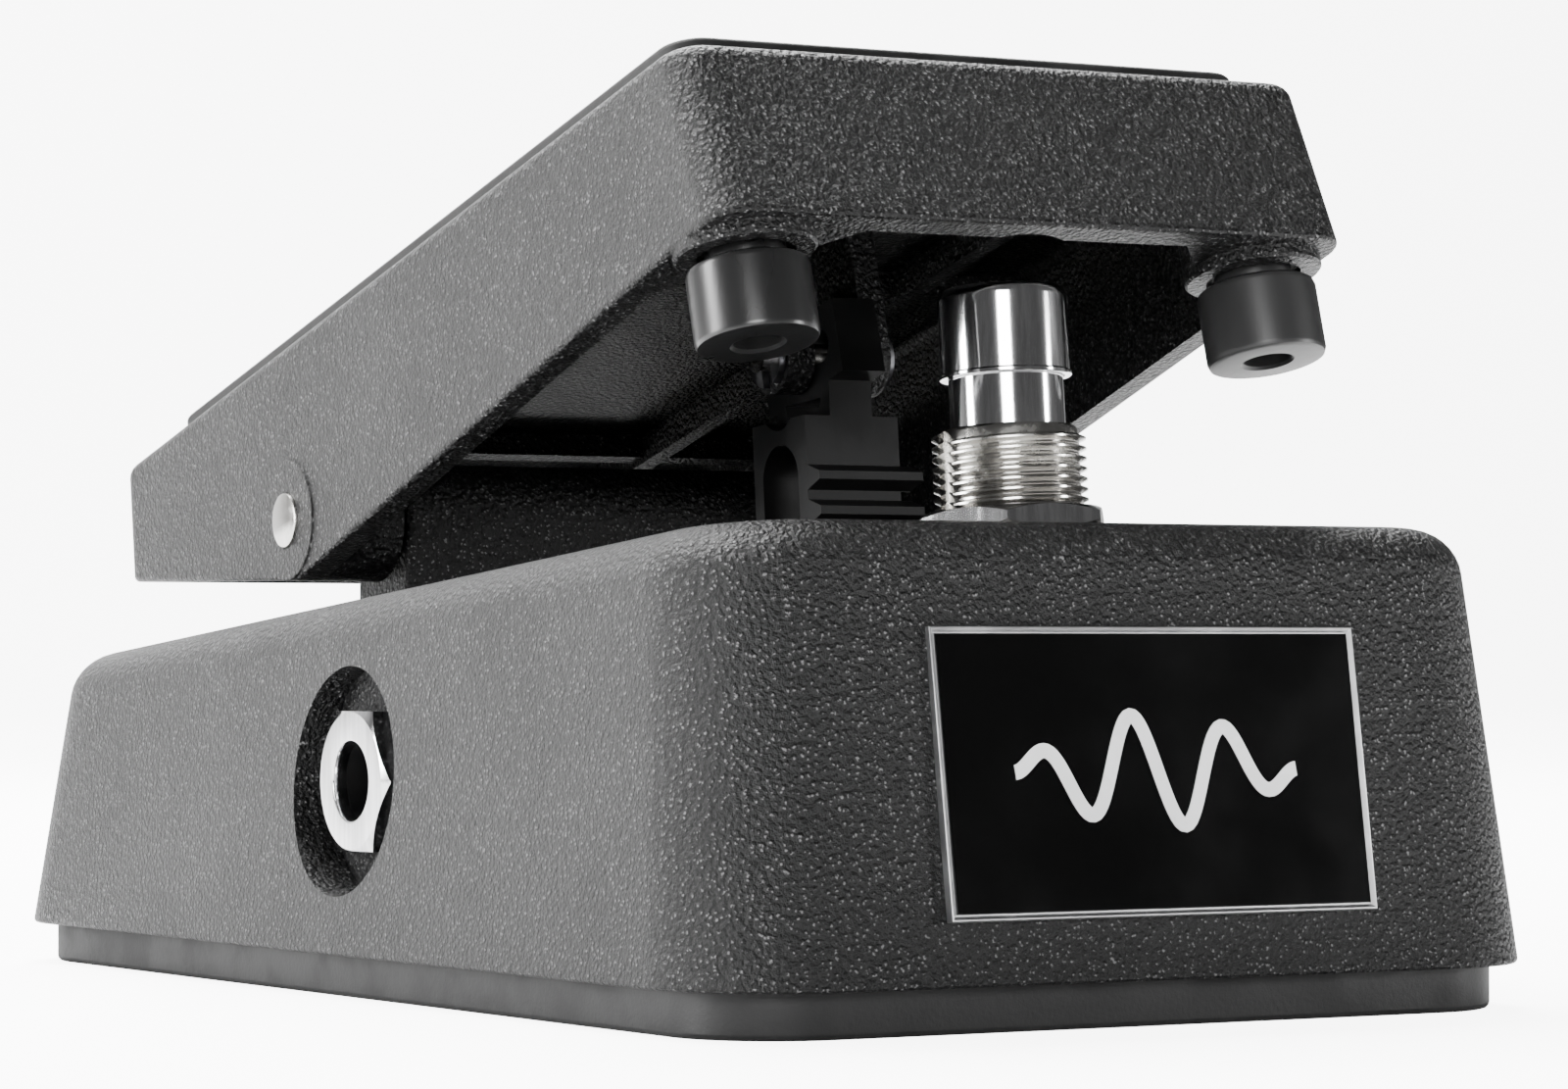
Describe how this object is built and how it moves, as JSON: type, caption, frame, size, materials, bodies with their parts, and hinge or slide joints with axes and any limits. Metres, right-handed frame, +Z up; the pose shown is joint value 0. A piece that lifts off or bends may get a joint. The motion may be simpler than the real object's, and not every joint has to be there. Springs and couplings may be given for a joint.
{
  "type": "rocker effects pedal",
  "caption": "Compact wah-type rocker pedal: a sprung footswitch under a treadle that turns a sealed potentiometer through a rack and pinion, in a cast housing.",
  "frame": {"origin": "middle of the footprint, on the floor under the rubber base", "axes": "+Z up, toe end at -Y, heel end at +Y, X across the pedal along the hinge pin"},
  "size_m": [0.076, 0.1333, 0.0743],
  "materials": {
    "powder_coat": "black crinkle powder coat",
    "rubber": "matte moulded rubber",
    "bumper_rubber": "smooth satin rubber",
    "steel_plate": "zinc plated sheet",
    "screw_steel": "dark zinc",
    "badge_metal": "polished border",
    "badge_black": null,
    "nylon": "natural nylon",
    "black_plastic": "satin moulded plastic",
    "chrome": "bright chrome plate",
    "nickel": "bright nickel plate",
    "brass": "spring brass",
    "board_green": "solder-masked glass epoxy",
    "coil_red": "red dipped pot core",
    "film_blue": "epoxy dipped film and electrolytic cans",
    "resistor_tan": "lacquered bodies",
    "epoxy_black": "moulded epoxy",
    "battery_case": "printed steel jacket",
    "foam": "closed-cell foam",
    "wire_red": "PVC insulation"
  },
  "bodies": {
    "pedal_base": {"housing": "powder_coat", "base_plate": "steel_plate", "rubber_base": "rubber", "base_screws": "screw_steel", "name_plate": "badge_metal", "name_plate_inlay": "badge_black", "hinge_bushings": "black_plastic", "tension_pad": "nylon", "tension_screw": "screw_steel", "tension_nut": "nickel", "input_jack": "black_plastic", "output_jack": "black_plastic", "jack_nuts": "chrome", "jack_springs": "brass", "power_jack": "black_plastic", "power_jack_pin": "nickel", "footswitch_bushing": "nickel", "footswitch_case": "epoxy_black", "footswitch_nut": "chrome", "footswitch_washer": "nickel", "footswitch_lower_nut": "nickel", "footswitch_terminals": "brass", "footswitch_spring": "nickel", "pot_case": "steel_plate", "pot_bushing": "brass", "pot_nut": "nickel", "pot_terminals": "nickel", "pot_bracket": "steel_plate", "bracket_screws": "screw_steel", "rack_guide": "black_plastic", "circuit_board": "board_green", "board_screws": "screw_steel", "inductor": "coil_red", "capacitors": "film_blue", "resistors": "resistor_tan", "transistors": "epoxy_black", "battery": "battery_case", "battery_snap": "black_plastic", "battery_pad": "foam", "wires": "wire_red"},
    "treadle": {"treadle": "powder_coat", "tread_mat": "rubber", "hinge_pin": "nickel", "bumper_left": "bumper_rubber", "bumper_right": "bumper_rubber", "rack_pin": "nickel", "rack_pin_clips": "screw_steel"},
    "rack": {"rack": "black_plastic"},
    "pinion": {"pinion": "nylon", "pot_shaft": "nickel"},
    "plunger": {"plunger": "chrome", "plunger_cap": "chrome"}
  },
  "joints": [
    {"name": "treadle_hinge", "type": "hinge", "parent": "pedal_base", "child": "treadle", "pos_m": [0, 0.0238, 0.0391], "axis": [1, 0, 0], "range_deg": [-9, 11.2]},
    {"name": "rack_slide", "type": "slide", "parent": "pedal_base", "child": "rack", "axis": [0, 0.0837, 0.9965], "range_m": [-0.00868, 0.00699]},
    {"name": "pinion_spin", "type": "hinge", "parent": "pedal_base", "child": "pinion", "pos_m": [0, -0.0312, 0.02405], "axis": [1, 0, 0], "range_deg": [-78.6, 63.3]},
    {"name": "plunger_press", "type": "slide", "parent": "pedal_base", "child": "plunger", "axis": [0, -0.0837, -0.9965], "range_m": [0, 0.0035], "stiffness_N_per_m": 2500, "springref_m": -0.001, "deforming": ["footswitch_spring"]}
  ],
  "couplings": [
    {"joint": "rack_slide", "follows": "treadle_hinge", "m_per_rad": -0.043879},
    {"joint": "pinion_spin", "follows": "treadle_hinge", "ratio": -6.9648}
  ]
}
